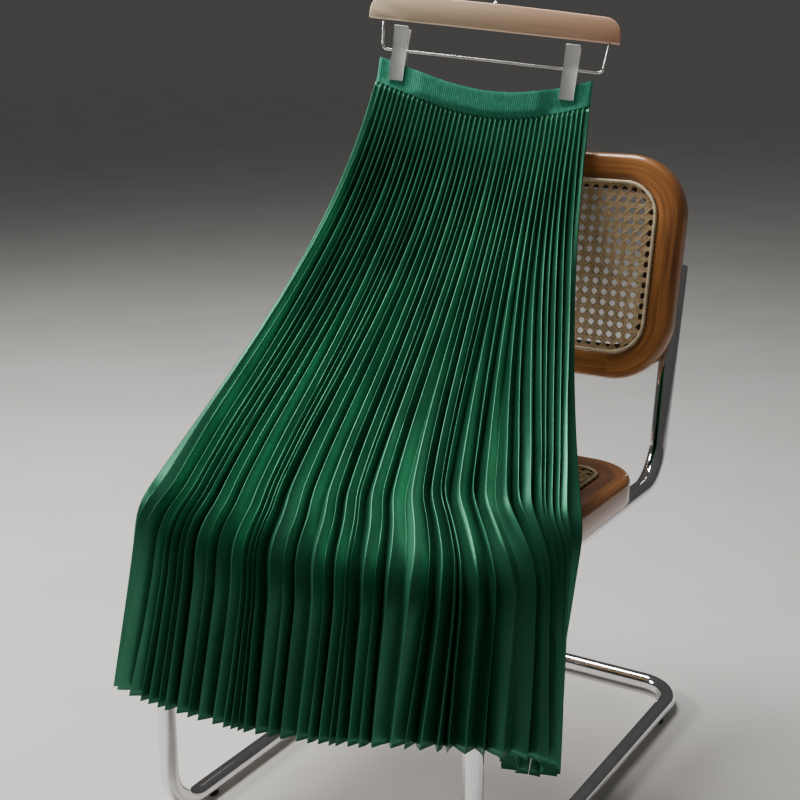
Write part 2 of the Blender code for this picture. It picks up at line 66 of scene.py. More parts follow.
# Where the cloth turns over the seat's edge: share across, x, y, z, heading of the free fall in
# degrees, its lean from upright in degrees, and how far it swings off its line before the edge
TURNS = (
    (0.00, -0.207, -0.014, 0.4800, 236.0, 7.0, 0.0),
    (0.12, -0.168, -0.038, 0.4745, 256.0, 7.0, 0.0),
    (0.45, 0.020, -0.039, 0.4701, 268.0, 6.0, 0.0),
    (0.72, 0.190, -0.037, 0.4731, 283.0, 6.0, 2.0),
    (0.86, 0.2622, 0.0175, 0.4782, 300.0, 7.0, 5.0),
    (1.00, 0.276, 0.142, 0.4850, 258.0, 14.0, 8.0),
)

# The pleats down the cloth: share down, half the gap between front and back, width of one face
# of a pleat, unevenness of the pitch
PLEAT_ROWS = (
    (0.00, 0.0045, 0.0052, 0.04),
    (0.05, 0.0080, 0.0075, 0.06),
    (0.14, 0.0115, 0.0115, 0.12),
    (0.35, 0.0145, 0.0150, 0.30),
    (0.60, 0.0150, 0.0170, 0.68),
    (0.73, 0.0125, 0.0175, 0.86),
    (0.82, 0.0165, 0.0185, 0.80),
    (1.00, 0.0245, 0.0205, 0.50),
)
CLOTH_ROWS = 126
CLOTH_WALL = 0.0006
CREASE = 0.0007

# waistband and hanger, in the band's own plane: along the waist, out of the plane, up the plane
BAND_WALL = 0.0022
BAND_HEIGHT = 0.0355
BAND_PINCH = 0.0021
BAND_PINCH_UP = 0.0075
BAND_OPEN = 0.0085
BAND_SWAY = 0.08
BAND_RIB = 0.0030
HANGER_LEAN = math.radians(12.0)
CLIP_AT = (0.028, 0.270)
CLIP_WIDTH = 0.0205
CLIP_FOOT = 0.0045
CLIP_LENGTH = 0.075
CLIP_SPLAY = 0.009
JAW = 0.0026
JAW_HALF_GAP = BAND_PINCH + BAND_WALL / 2 + GAP
WIRE_UP = 0.047
WIRE_RADIUS = 0.0018
WIRE_ENDS = (-0.001, 0.3180)
BAR_ENDS = (-0.0220, 0.3320)
BAR_UP = 0.0885
BAR_HEIGHT = 0.034
BAR_DEPTH = 0.013
HOOK_RADIUS = 0.0019
HOOK_BEND = 0.020

# chair
TUBE = 0.0125
FLOOR_TUBE = 0.0165
RAIL_UP = 0.411
BASE_DEPTH = 0.680
RAIL_BACK = 0.527
TOP_UP = 0.708
BACK_LEAN = math.radians(10.2)
SEAT = {"half_width": 0.250, "depth": 0.455, "front": -0.015, "corner": 0.075, "thick": 0.0362, "rim": 0.042}
BACK = {"half_width": 0.238, "height": 0.311, "middle_up": 0.6965, "corner": 0.085, "thick": 0.027, "rim": 0.036}
CANE_DROP = 0.003
BEAD = 0.0022
CANE_PITCH = 0.0143
STRAND = 0.0026

# camera, in the chair's frame
CAMERA_AT = np.array((0.888, -1.247, 1.061))
CAMERA_LOOK = (-0.499, 0.821, -0.276)
CAMERA_LENS = 63.0


def smooth_column(table, column, at):
    """Reads a table's column at any share by a cubic that never overshoots its rows."""
    rows = np.array(table, float)
    x = rows[:, 0]
    y = rows[:, column]
    h = np.diff(x)
    d = np.diff(y) / h
    m = np.zeros(len(x))
    m[0] = d[0]
    m[-1] = d[-1]
    for i in range(1, len(x) - 1):
        if d[i - 1] * d[i] > 0:
            m[i] = (h[i - 1] + h[i]) / (h[i - 1] / d[i] + h[i] / d[i - 1])
    i = np.clip(np.searchsorted(x, at) - 1, 0, len(h) - 1)
    t = (at - x[i]) / h[i]
    start = y[i] * (1 + 2 * t) * (1 - t) ** 2 + m[i] * h[i] * t * (1 - t) ** 2
    end = y[i + 1] * t * t * (3 - 2 * t) + m[i + 1] * h[i] * t * t * (t - 1)
    return start + end


def unit(vectors):
    """Vectors of length one, along the last axis."""
    return vectors / np.linalg.norm(vectors, axis=-1, keepdims=True)


def hanger_axes():
    """The waist plane's own axes: along the waist, out of the plane, up the plane."""
    along = unit(WAIST_RIGHT - WAIST_LEFT)
    level = unit(np.array((along[1], -along[0], 0.0)))
    rise = np.cross(along, -level)
    up = rise * math.cos(HANGER_LEAN) - level * math.sin(HANGER_LEAN)
    out = level * math.cos(HANGER_LEAN) + rise * math.sin(HANGER_LEAN)
    return along, out, up


def waist_dip(share):
    """How far the waist sags below its straight line between the two ends."""
    return WAIST_DIP * np.sin(np.pi * share ** WAIST_SKEW)


def falling_lines(share, steps):
    """Lines down the middle of the cloth: from the waist, over the seat's edge, down to the hem."""
    top = WAIST_LEFT + (WAIST_RIGHT - WAIST_LEFT) * share[:, None]
    top -= waist_dip(share)[:, None] * hanger_axes()[2]
    edge = np.stack([smooth_column(TURNS, k, share) for k in (1, 2, 3)], -1)
    heading = np.radians(smooth_column(TURNS, 4, share))
    lean = np.radians(smooth_column(TURNS, 5, share))
    approach = unit(edge[:, :2] - top[:, :2])
    away = np.stack([np.cos(heading), np.sin(heading)], -1)
    swing = np.radians(smooth_column(TURNS, 6, share))
    over = np.stack([approach[:, 0] * np.cos(swing) - approach[:, 1] * np.sin(swing),
                     approach[:, 0] * np.sin(swing) + approach[:, 1] * np.cos(swing)], -1)
    forward = np.array((0.0, -1.0)) + approach * 0.5
    reach = np.linalg.norm(edge - top, axis=1)[:, None]
    down = np.ones((len(share), 1))
    first = np.concatenate([unit(forward) * FIRST_SLOPE, -down * math.sqrt(1 - FIRST_SLOPE ** 2)], 1)
    last = np.concatenate([over * math.cos(LAST_SLOPE), -down * math.sin(LAST_SLOPE)], 1)
    s = np.linspace(0, 1, 60)[:, None, None]
    near = top + first * reach * 0.33
    far = edge - last * reach * 0.30
    path = top * (1 - s) ** 3 + 3 * near * s * (1 - s) ** 2 + 3 * far * s * s * (1 - s) + edge * s ** 3
    line = list(path)
    turn = math.pi / 2 - lean - LAST_SLOPE
    pieces = 14
    for i in range(pieces):
        f = (i + 0.5) / pieces
        angle = (LAST_SLOPE + turn * f)[:, None]
        flat = unit(over * (1 - f) + away * f)
        step = (BEND_RADIUS * turn / pieces)[:, None]
        line.append(line[-1] + np.concatenate([flat * np.cos(angle), -np.sin(angle)], 1) * step)
    fall = np.concatenate([away * np.sin(lean)[:, None], -np.cos(lean)[:, None]], 1)
    line.append(line[-1] + fall * SKIRT_LENGTH)
    line = np.array(line)
    run = np.linalg.norm(np.diff(line, axis=0), axis=2)
    run = np.concatenate([np.zeros((1, len(share))), np.cumsum(run, 0)], 0)
    even = np.zeros((steps, len(share), 3))
    for k in range(len(share)):
        wanted = np.linspace(0, SKIRT_LENGTH + HEM_DROP * share[k], steps)
        for c in range(3):
            even[:, k, c] = np.interp(wanted, run[:, k], line[:, k, c])
    return even


def soften(grid, axis, times):
    """Averages a grid with its neighbours along one axis, keeping its ends."""
    grid = np.moveaxis(grid, axis, 0).copy()
    for _ in range(times):
        grid[1:-1] = grid[:-2] * 0.25 + grid[1:-1] * 0.5 + grid[2:] * 0.25
    return np.moveaxis(grid, 0, axis)


def middle_sheet(across=161, down=150):
    """The surface halfway between the skirt's front and back, and its outward normals."""
    share = np.linspace(0, 1, across)
    grid = soften(soften(falling_lines(share, down), 1, 12), 0, 6)
    normal = unit(np.cross(np.gradient(grid, axis=0), np.gradient(grid, axis=1)))
    return grid, normal


def uneven(count, share):
    """A fixed pattern of open pleats and of bunched, nearly closed ones between them."""
    wave = np.sin(2.39 * count + 1.0) + 0.6 * np.sin(0.77 * count + 0.4) + 0.3 * np.sin(5.1 * count + 2.2)
    drift = 0.12 * np.sin(1.7 * count + 7.0 * share)
    return np.tanh(2.2 * wave) + drift


def crease_ring(sheet, share, side):
    """Crease points across one panel at a share of its length, and the panel's outward normals."""
    grid, normal = sheet
    row = share * (len(grid) - 1)
    k = int(min(math.floor(row), len(grid) - 2))
    f = row - k
    middle = grid[k] * (1 - f) + grid[k + 1] * f
    outward = normal[k] * (1 - f) + normal[k + 1] * f
    along = unit(np.gradient(middle, axis=0))
    band_along, band_out, _ = hanger_axes()
    like_band = max(1 - share / BAND_SWAY, 0.0)
    along = unit(along * (1 - like_band) + band_along * like_band)
    outward = unit(outward * (1 - like_band) + band_out * like_band)
    run = np.concatenate([[0], np.cumsum(np.linalg.norm(np.diff(middle, axis=0), axis=1))])
    half_gap, face, scatter = [float(smooth_column(PLEAT_ROWS, c, np.array([share]))[0]) for c in (1, 2, 3)]
    straight = run[-1] - 2 * half_gap
    quarter = math.pi * half_gap / 2
    faces = np.arange(PLEATS * 2)
    width = np.exp(scatter * uneven(faces // 2 + (0 if side > 0 else 91), share))
    width = width / width.sum() * (straight + 2 * quarter)
    at = np.concatenate([[0], np.cumsum(width)])
    flat = np.clip(at - quarter, 0, straight) + half_gap
    turn = np.clip((quarter - at) / half_gap, 0, None) * -1
    turn = turn + np.clip((at - quarter - straight) / half_gap, 0, None)
    point = np.stack([np.interp(flat, run, q) for q in middle.T], -1)
    out = np.stack([np.interp(flat, run, q) for q in outward.T], -1)
    tangent = np.stack([np.interp(flat, run, q) for q in along.T], -1)
    out = unit(out * np.cos(turn)[:, None] * side + tangent * np.sin(turn)[:, None])
    rise = np.sqrt(np.clip(face ** 2 - width ** 2, (0.3 * face) ** 2, None))
    height = np.zeros(len(at))
    height[1:-1] = (rise[:-1] + rise[1:]) / 4 * np.where(np.arange(1, len(at) - 1) % 2 == 1, 1.0, -1.0)
    return point + out * (half_gap + height[:, None]), out


def cloth_grid(sheet, side):
    """One pleated panel as a fine grid of points: creases with narrow strips beside them, faces softly bowed."""
    shares = np.linspace(0, 1, CLOTH_ROWS)
    rings = [crease_ring(sheet, share, side) for share in shares]
    crease = np.array([ring[0] for ring in rings])
    out = np.array([ring[1] for ring in rings])
    down = unit(np.gradient(crease, axis=0))
    seam = unit(np.cross(down[:, [0, -1]], out[:, [0, -1]]))
    inward = unit(crease[:, [1, -2]] - crease[:, [0, -1]])
    seam *= np.sign(np.sum(seam * inward, axis=2, keepdims=True))
    crease[:, [0, -1]] += seam * (GAP + CLOTH_WALL) / 2
    start = crease[:, :-1]
    end = crease[:, 1:]
    across = end - start
    width = np.linalg.norm(across, axis=2, keepdims=True)
    normal = unit(np.cross(down[:, :-1] + down[:, 1:], across))
    normal *= np.sign(np.sum(normal * (out[:, :-1] + out[:, 1:]), axis=2, keepdims=True))
    number = np.arange(across.shape[1])[None, :, None]
    depth = shares[:, None, None]
    bow = 0.045 * np.sin(1.9 * number + 5.0 * depth) + 0.03 * np.sin(0.7 * number + 9.0 * depth + 1.0)
    bow = bow * width * np.clip(depth / 0.12, 0, 1)
    strip = np.clip(CREASE / width, 0, 0.14)
    columns = [start, start + across * strip + normal * bow * 0.15, start + across * 0.5 + normal * bow,
               end - across * strip + normal * bow * 0.15]
    grid = np.stack(columns, 2).reshape(len(shares), -1, 3)
    return np.concatenate([grid, crease[:, -1:]], 1)


def surface_normals(grid, closed=False):
    """Normals of a grid of points, averaged at each point."""
    if closed:
        wide = np.concatenate([grid[:, -1:], grid, grid[:, :1]], 1)
        across = np.gradient(wide, axis=1)[:, 1:-1]
    else:
        across = np.gradient(grid, axis=1)
    return unit(np.cross(np.gradient(grid, axis=0), across))


def add_piece(name, vertices, faces, material, stands_for=(), uv=None, crease_angle=None):
    """One shown piece in the chair's frame, moved into the part's frame, riding on the part's only body."""
    mesh = bpy.data.meshes.new(name)
    mesh.from_pydata((np.asarray(vertices) - SHIFT).tolist(), [], faces)
    mesh.update()
    if uv is not None:
        layer = mesh.uv_layers.new(name="UVMap")
        layer.data.foreach_set("uv", np.asarray(uv, np.float32).ravel())
    work = bmesh.new()
    work.from_mesh(mesh)
    bmesh.ops.recalc_face_normals(work, faces=work.faces[:])
    work.to_mesh(mesh)
    work.free()
    mesh.polygons.foreach_set("use_smooth", [True] * len(mesh.polygons))
    if crease_angle is not None:
        mesh.set_sharp_from_angle(angle=math.radians(crease_angle))
    mesh.materials.append(material)
    piece = bpy.data.objects.new(name, mesh)
    bpy.context.scene.collection.objects.link(piece)
    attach(piece, "root")
    if stands_for:
        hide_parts(*stands_for)
    return piece


def wall_faces(rows, columns, closed):
    """Faces of a wall whose outer grid comes first and whose inner grid follows."""
    def at(layer, row, column):
        return layer * rows * columns + row * columns + column % columns

    faces = []
    spans = columns if closed else columns - 1
    for row in range(rows - 1):
        for column in range(spans):
            for layer in (0, 1):
                quad = [at(layer, row, column), at(layer, row, column + 1)]
                quad += [at(layer, row + 1, column + 1), at(layer, row + 1, column)]
                faces.append(quad)
    for column in range(spans):
        for row in (0, rows - 1):
            faces.append([at(0, row, column), at(0, row, column + 1), at(1, row, column + 1), at(1, row, column)])
    if not closed:
        for row in range(rows - 1):
            for column in (0, columns - 1):
                faces.append([at(0, row, column), at(0, row + 1, column), at(1, row + 1, column), at(1, row, column)])
    return faces


def swept(rings, closed_path):
    """Vertices, faces and UVs in metres (along, round) of a solid through rings of equal length."""
    count = len(rings)
    size = len(rings[0])
    points = np.array(rings)
    middle = points.mean(axis=1)
    run = np.linalg.norm(np.diff(np.concatenate([middle, middle[:1]]), axis=0), axis=1)
    run = np.concatenate([[0], np.cumsum(run)])
    girth = np.linalg.norm(np.diff(np.concatenate([points[0], points[0][:1]]), axis=0), axis=1)
    girth = np.concatenate([[0], np.cumsum(girth)])
    faces = []
    uv = []
    for i in range(count if closed_path else count - 1):
        j = (i + 1) % count
        for k in range(size):
            n = (k + 1) % size
            faces.append([i * size + k, i * size + n, j * size + n, j * size + k])
            uv += [(run[i], girth[k]), (run[i], girth[k + 1]), (run[i + 1], girth[k + 1]), (run[i + 1], girth[k])]
    if not closed_path:
        for first in (0, (count - 1) * size):
            faces.append([first + k for k in range(size)])
            uv += [(run[first // size], girth[k]) for k in range(size)]
    return points.reshape(-1, 3), faces, uv


def rounded_path(corners, radii, pieces):
    """A path through corners, each turned on an arc of its own radius."""
    corners = [np.array(c, float) for c in corners]
    path = [corners[0]]
    for i in range(1, len(corners) - 1):
        before = unit(corners[i - 1] - corners[i])
        after = unit(corners[i + 1] - corners[i])
        half = math.acos(float(np.clip(before @ after, -1, 1))) / 2
        radius = radii[i - 1]
        centre = corners[i] + unit(before + after) * radius / math.sin(half)
        start = corners[i] + before * radius / math.tan(half) - centre
        end = corners[i] + after * radius / math.tan(half) - centre
        sweep = math.pi - 2 * half
        for k in range(pieces + 1):
            f = k / pieces
            arc = (start * math.sin(sweep * (1 - f)) + end * math.sin(sweep * f)) / math.sin(sweep)
            path.append(centre + arc)
    path.append(corners[-1])
    return np.array(path)


def tube_rings(path, radius, sides, round_ends=False):
    """Round sections along a path, carried along without twisting, with softly rounded ends if asked."""
    along = unit(np.gradient(path, axis=0))
    rough = np.array((0.0, 0.0, 1.0)) if abs(along[0][2]) < 0.9 else np.array((1.0, 0.0, 0.0))
    first = unit(np.cross(along[0], rough))
    sizes = [radius] * len(path)
    if round_ends:
        ease = radius * 0.25
        extra = [(0.0, radius - ease), (ease * 0.3, radius - ease * 0.3)]
        head = [path[0] + along[0] * step for step, _ in extra] + [path[0] + along[0] * ease]
        tail = [path[-1] - along[-1] * ease] + [path[-1] - along[-1] * step for step, _ in extra[::-1]]
        path = np.array(head + list(path[1:-1]) + tail)
        sizes = [size for _, size in extra] + [radius] * (len(path) - 4) + [size for _, size in extra[::-1]]
        along = unit(np.gradient(path, axis=0))
    rings = []
    for point, direction, size in zip(path, along, sizes):
        first = unit(first - direction * (first @ direction))
        second = np.cross(direction, first)
        angles = np.arange(sides) * 2 * math.pi / sides
        rings.append(point + size * (np.cos(angles)[:, None] * first + np.sin(angles)[:, None] * second))
    return rings


def rounded_outline(half_width, low, high, corner, pieces):
    """A rectangle with round corners, from its lower right corner round to its lower left."""
    centres = ((half_width, low, -90.0), (half_width, high, 0.0), (-half_width, high, 90.0), (-half_width, low, 180.0))
    outline = []
    for x, y, turn in centres:
        cx = x - math.copysign(corner, x)
        cy = y + corner if y == low else y - corner
        for k in range(pieces + 1):
            angle = math.radians(turn + 90.0 * k / pieces)
            outline.append((cx + corner * math.cos(angle), cy + corner * math.sin(angle)))
    return np.array(outline)


def inset(outline, amount):
    """The same outline, moved inwards."""
    before = unit(outline - np.roll(outline, 1, axis=0))
    after = unit(np.roll(outline, -1, axis=0) - outline)
    normal = unit(np.stack([-(before + after)[:, 1], (before + after)[:, 0]], -1))
    return outline + normal * amount


def seat_place(points):
    """From the seat's own plan to the chair's frame."""
    return points + np.array((0.0, 0.0, RAIL_UP + TUBE + GAP))


def back_place(points):
    """From the backrest's own plan (x across, y up the back, z towards the front) to the chair's frame."""
    up = np.array((0.0, math.sin(BACK_LEAN), math.cos(BACK_LEAN)))
    front = np.array((0.0, -math.cos(BACK_LEAN), math.sin(BACK_LEAN)))
    foot = RAIL_BACK + (BACK["middle_up"] - RAIL_UP) * math.tan(BACK_LEAN)
    middle = np.array((0.0, foot, BACK["middle_up"])) + front * (TUBE + GAP)
    across = np.array((1.0, 0.0, 0.0))
    return middle + points[:, [0]] * across + points[:, [1]] * up + points[:, [2]] * front


def hanger_place(points):
    """From the waist's own plane (along, out, up) to the chair's frame."""
    points = np.asarray(points, float)
    along, out, up = hanger_axes()
    return WAIST_LEFT + points[..., [0]] * along + points[..., [1]] * out + points[..., [2]] * up


# Materials: each is made of procedural nodes on a Principled shader.

def new_material(name, roughness, metallic=0.0, specular=0.5, sheen=0.0, coat=0.0, anisotropy=0.0):
    """A material, its shader and a short way to add and join nodes."""
    material = bpy.data.materials.new(name)
    material.use_nodes = True
    tree = material.node_tree
    shader = tree.nodes["Principled BSDF"]
    shader.inputs["Roughness"].default_value = roughness
    shader.inputs["Metallic"].default_value = metallic
    shader.inputs["Specular IOR Level"].default_value = specular
    shader.inputs["Sheen Weight"].default_value = sheen
    shader.inputs["Coat Weight"].default_value = coat
    shader.inputs["Coat Roughness"].default_value = 0.08
    shader.inputs["Anisotropic"].default_value = anisotropy
    return material, tree, shader


def node(tree, kind, values=None, **inputs):
    """A node with its settings and its unlinked inputs, or links where an input is an output socket."""
    made = tree.nodes.new(kind)
    for key, value in (values or {}).items():
        setattr(made, key, value)
    for key, value in inputs.items():
        socket = made.inputs[key.replace("_", " ")]
        if isinstance(value, bpy.types.NodeSocket):
            tree.links.new(value, socket)
        else:
            socket.default_value = value
    return made


def stretched(tree, source, scale):
    """Coordinates of one kind, scaled differently along each axis."""
    coordinates = tree.nodes.new("ShaderNodeTexCoord")
    return node(tree, "ShaderNodeMapping", None, Vector=coordinates.outputs[source], Scale=scale).outputs["Vector"]


def two_tone(tree, shader, factor, first, second, low=0.35, high=0.65):
    """The shader's colour between two colours, by a factor."""
    ramp = tree.nodes.new("ShaderNodeValToRGB")
    ramp.color_ramp.elements[0].position = low
    ramp.color_ramp.elements[0].color = (*first, 1.0)
    ramp.color_ramp.elements[1].position = high
    ramp.color_ramp.elements[1].color = (*second, 1.0)
    tree.links.new(factor, ramp.inputs["Fac"])
    tree.links.new(ramp.outputs["Color"], shader.inputs["Base Color"])
    return ramp


def bumped(tree, shader, height, distance, strength=1.0):
    """A fine relief on the shader."""
    bump = node(tree, "ShaderNodeBump", None, Height=height, Distance=distance, Strength=strength)
    tree.links.new(bump.outputs["Normal"], shader.inputs["Normal"])


def satin(name):
    """Dark green satin with a fine cross weave."""
    material, tree, shader = new_material(name, 0.38, metallic=0.60, specular=0.5, anisotropy=0.35)
    soft = node(tree, "ShaderNodeTexNoise", None, Vector=stretched(tree, "Object", (14, 14, 6)), Scale=1.0, Detail=3.0)
    two_tone(tree, shader, soft.outputs["Fac"], (0.022, 0.155, 0.082), (0.032, 0.200, 0.108))
    weave = node(tree, "ShaderNodeTexNoise", None, Vector=stretched(tree, "UV", (500, 2600, 1)), Scale=1.0, Detail=2.0)
    bumped(tree, shader, weave.outputs["Fac"], 0.00012, 0.5)
    return material


def elastic(name):
    """Lighter green matt elastic, slightly mottled, with a fine knit."""
    material, tree, shader = new_material(name, 0.82, specular=0.25, sheen=0.35)
    shader.inputs["Sheen Tint"].default_value = (0.4, 0.9, 0.7, 1.0)
    mottle = node(tree, "ShaderNodeTexNoise", None, Vector=stretched(tree, "Object", (220, 220, 130)),
                  Scale=1.0, Detail=4.0)
    two_tone(tree, shader, mottle.outputs["Fac"], (0.030, 0.290, 0.175), (0.060, 0.420, 0.270), 0.3, 0.7)
    knit = node(tree, "ShaderNodeTexNoise", None, Vector=stretched(tree, "Object", (1400, 1400, 900)),
                Scale=1.0, Detail=1.0)
    bumped(tree, shader, knit.outputs["Fac"], 0.0003, 0.6)
    return material


def wood(name, dark, light, roughness, coat, grain=(9, 260, 1)):
    """Varnished wood whose grain runs along the piece."""
    material, tree, shader = new_material(name, roughness, coat=coat)
    bent = stretched(tree, "UV", grain)
    streak = node(tree, "ShaderNodeTexNoise", None, Vector=bent, Scale=1.0, Detail=6.0, Roughness=0.62, Distortion=0.4)
    broad = node(tree, "ShaderNodeTexNoise", None, Vector=stretched(tree, "UV", (5, 40, 1)), Scale=1.0, Detail=2.0)
    mix = node(tree, "ShaderNodeMath", {"operation": "MULTIPLY_ADD"})
    tree.links.new(broad.outputs["Fac"], mix.inputs[0])
    mix.inputs[1].default_value = 0.55
    half = node(tree, "ShaderNodeMath", {"operation": "MULTIPLY"})
    tree.links.new(streak.outputs["Fac"], half.inputs[0])
    half.inputs[1].default_value = 0.45
    tree.links.new(half.outputs[0], mix.inputs[2])
    two_tone(tree, shader, mix.outputs[0], dark, light, 0.36, 0.62)
    bumped(tree, shader, streak.outputs["Fac"], 0.0002, 0.25)
    return material


def bare_wood(name, left, right):
    """Pale wood whose tone warms from one end of the bar to the other, with a faint long grain."""
    material, tree, shader = new_material(name, 0.5, coat=0.1)
    coordinates = tree.nodes.new("ShaderNodeTexCoord")
    split = node(tree, "ShaderNodeSeparateXYZ", None, Vector=coordinates.outputs["UV"])
    fade = node(tree, "ShaderNodeMapRange", None, Value=split.outputs["X"])
    fade.inputs["From Max"].default_value = BAR_ENDS[1] - BAR_ENDS[0]
    tone = node(tree, "ShaderNodeMix", {"data_type": "RGBA"}, Factor=fade.outputs["Result"])
    tone.inputs["A"].default_value = (*left, 1.0)
    tone.inputs["B"].default_value = (*right, 1.0)
    tone.inputs[6].default_value = (*left, 1.0)
    tone.inputs[7].default_value = (*right, 1.0)
    streak = node(tree, "ShaderNodeTexNoise", None, Vector=stretched(tree, "UV", (9, 300, 1)), Scale=1.0, Detail=5.0)
    shade = node(tree, "ShaderNodeMapRange", None, Value=streak.outputs["Fac"])
    shade.inputs["To Min"].default_value = 0.80
    shade.inputs["To Max"].default_value = 1.12
    final = node(tree, "ShaderNodeVectorMath", {"operation": "SCALE"})
    tree.links.new(tone.outputs[2], final.inputs[0])
    tree.links.new(shade.outputs["Result"], final.inputs["Scale"])
    tree.links.new(final.outputs[0], shader.inputs["Base Color"])
    bumped(tree, shader, streak.outputs["Fac"], 0.0001, 0.3)
    return material


def plain(name, first, second, roughness, metallic=0.0, scale=60.0, coat=0.0, relief=0.0):
    """A simple finish whose colour varies slightly over the piece."""
    material, tree, shader = new_material(name, roughness, metallic, coat=coat)
    soft = node(tree, "ShaderNodeTexNoise", None, Vector=stretched(tree, "Object", (scale, scale, scale)),
                Scale=1.0, Detail=2.0)
    two_tone(tree, shader, soft.outputs["Fac"], first, second)
    if relief:
        bumped(tree, shader, soft.outputs["Fac"], relief, 0.4)
    return material


def build_skirt(cloth, band):
    """The two pleated panels and the ribbed waistband."""
    sheet = middle_sheet()
    panels = []
    for name, side in (("skirt_front", 1), ("skirt_back", -1)):
        grid = cloth_grid(sheet, side)
        normal = surface_normals(grid)
        rows, columns = grid.shape[:2]
        layers = [(grid + normal * CLOTH_WALL / 2).reshape(-1, 3), (grid - normal * CLOTH_WALL / 2).reshape(-1, 3)]
        faces = wall_faces(rows, columns, False)
        across = np.concatenate([[0], np.cumsum(np.linalg.norm(np.diff(grid[rows // 2], axis=0), axis=1))])
        place = np.stack(np.meshgrid(across, np.linspace(0, SKIRT_LENGTH, rows)), -1).reshape(-1, 2)
        place = np.concatenate([place, place])
        uv = place[np.array(faces).ravel()]
        piece = add_piece(f"{name}_cloth", np.concatenate(layers), faces, cloth, (name,), uv, None)
        panels.append(piece)

    heights = np.linspace(GAP, BAND_HEIGHT, 13)
    outer = []
    inner = []
    for height in heights:
        ease = min(height - GAP, BAND_HEIGHT - height) / 0.0008
        round_edge = 0.35 + 0.65 * math.sqrt(min(ease, 1.0))
        rib, _ = band_loop(height, 0.0)
        around = np.arange(len(rib)) / RIB_POINTS
        wave = 0.00028 * np.sin(2 * math.pi * around) * min(ease, 1.0)
        grow = BAND_WALL / 2 * 0.85 * round_edge + wave
        outer.append(band_loop(height, grow)[0])
        inner.append(band_loop(height, -BAND_WALL / 2 * 0.85 * round_edge)[0])
    outer = np.array(outer)
    inner = np.array(inner)
    faces = wall_faces(len(heights), outer.shape[1], True)
    vertices = np.concatenate([outer.reshape(-1, 3), inner.reshape(-1, 3)])
    band_piece = add_piece("waistband_elastic", vertices, faces, band, ("waistband",), None, 60)
    return panels, band_piece


RIB_POINTS = 6


def band_loop(height, growth):
    """The waistband's closed outline at a height, grown outwards by half its wall, and its length."""
    length = float(np.linalg.norm(WAIST_RIGHT - WAIST_LEFT))
    end = PLEAT_ROWS[0][1]
    stations = int(length / BAND_RIB * RIB_POINTS)
    share = np.linspace(0, 1, stations)
    along = end + (length - 2 * end) * share
    rise = np.clip((height - GAP) / (BAND_PINCH_UP - GAP), 0, 1)
    squeeze = np.ones(len(along))
    for clip in CLIP_AT:
        squeeze = np.minimum(squeeze, np.clip((abs(along - clip) - CLIP_WIDTH / 2 - 0.001) / 0.030, 0, 1))
    wide = np.where((along > CLIP_AT[0]) & (along < CLIP_AT[1]), BAND_OPEN, end)
    top = BAND_PINCH + (wide - BAND_PINCH) * squeeze ** 2 * (3 - 2 * squeeze)
    half = end + (top - end) * rise
    angles = np.radians(np.arange(-80.0, 81.0, 10.0))
    grow = np.broadcast_to(np.asarray(growth, float), (2 * stations + 2 * len(angles),))
    front = grow[:stations]
    turn_right = grow[stations:stations + len(angles)]
    back = grow[stations + len(angles):2 * stations + len(angles)]
    turn_left = grow[2 * stations + len(angles):]
    out = [np.stack([along, half + front, along], 1)]
    wide = half[-1] + turn_right
    out.append(np.stack([along[-1] + wide * np.cos(angles), -wide * np.sin(angles), np.full(len(angles), along[-1])], 1))
    out.append(np.stack([along[::-1], -half[::-1] - back, along[::-1]], 1))
    wide = half[0] + turn_left
    out.append(np.stack([along[0] - wide * np.cos(angles), wide * np.sin(angles), np.full(len(angles), along[0])], 1))
    out = np.concatenate(out)
    drop = waist_dip(np.clip(out[:, 2] / length, 0, 1))
    return hanger_place(np.stack([out[:, 0], out[:, 1], height - drop], 1)), length


def jaw_outline(side):
    """One jaw seen from the clip's edge, as (out, up) points round it."""
    near = JAW_HALF_GAP
    far = near + JAW
    bend = WIRE_UP + 0.006
    top = CLIP_FOOT + CLIP_LENGTH
    ease = 0.0009
    points = [(near, CLIP_FOOT), (near, bend - 0.006), (near + 0.0006, bend), (near + CLIP_SPLAY, top),
              (far + CLIP_SPLAY - ease, top), (far + CLIP_SPLAY - ease * 0.3, top - ease * 0.3),
              (far + CLIP_SPLAY, top - ease), (far + 0.0006, bend), (far, bend - 0.006),
              (far, CLIP_FOOT + ease), (far - ease * 0.3, CLIP_FOOT + ease * 0.3), (far - ease, CLIP_FOOT)]
    return [(out * side, up) for out, up in points]


def build_clip(name, centre, white, steel):
    """A clip: two jaws with eased edges and a coiled spring round the wire."""
    for part, side in (("front_jaw", 1), ("back_jaw", -1)):
        profile = np.array(jaw_outline(side))
        middle = profile.mean(axis=0)
        rings = []
        half = CLIP_WIDTH / 2
        for offset, shrink in ((-half, 0.0008), (-half + 0.0003, 0.0003), (-half + 0.0009, 0.0),
                               (half - 0.0009, 0.0), (half - 0.0003, 0.0003), (half, 0.0008)):
            flat = profile - np.sign(profile - middle) * np.array((min(shrink, 0.0007), shrink))
            rings.append(hanger_place([(centre + offset, out, up) for out, up in flat]))
        vertices, faces, uv = swept(rings, False)
        full = f"{name}_{part}"
        add_piece(f"{full}_shell", vertices, faces, white, (full,), uv, 35)
    coil = []
    wire = 0.00055
    radius = JAW_HALF_GAP - GAP - wire
    turns = 9
    for k in range(turns * 16 + 1):
        angle = 2 * math.pi * k / 16
        at = centre - CLIP_WIDTH / 2 + 0.0016 + (CLIP_WIDTH - 0.0032) * k / (turns * 16)
        coil.append((at, radius * math.cos(angle), WIRE_UP + radius * math.sin(angle)))
    vertices, faces, uv = swept([hanger_place(r) for r in tube_rings(np.array(coil), wire, 6)], False)
    add_piece(f"{name}_coil", vertices, faces, steel, (f"{name}_spring",), uv, None)


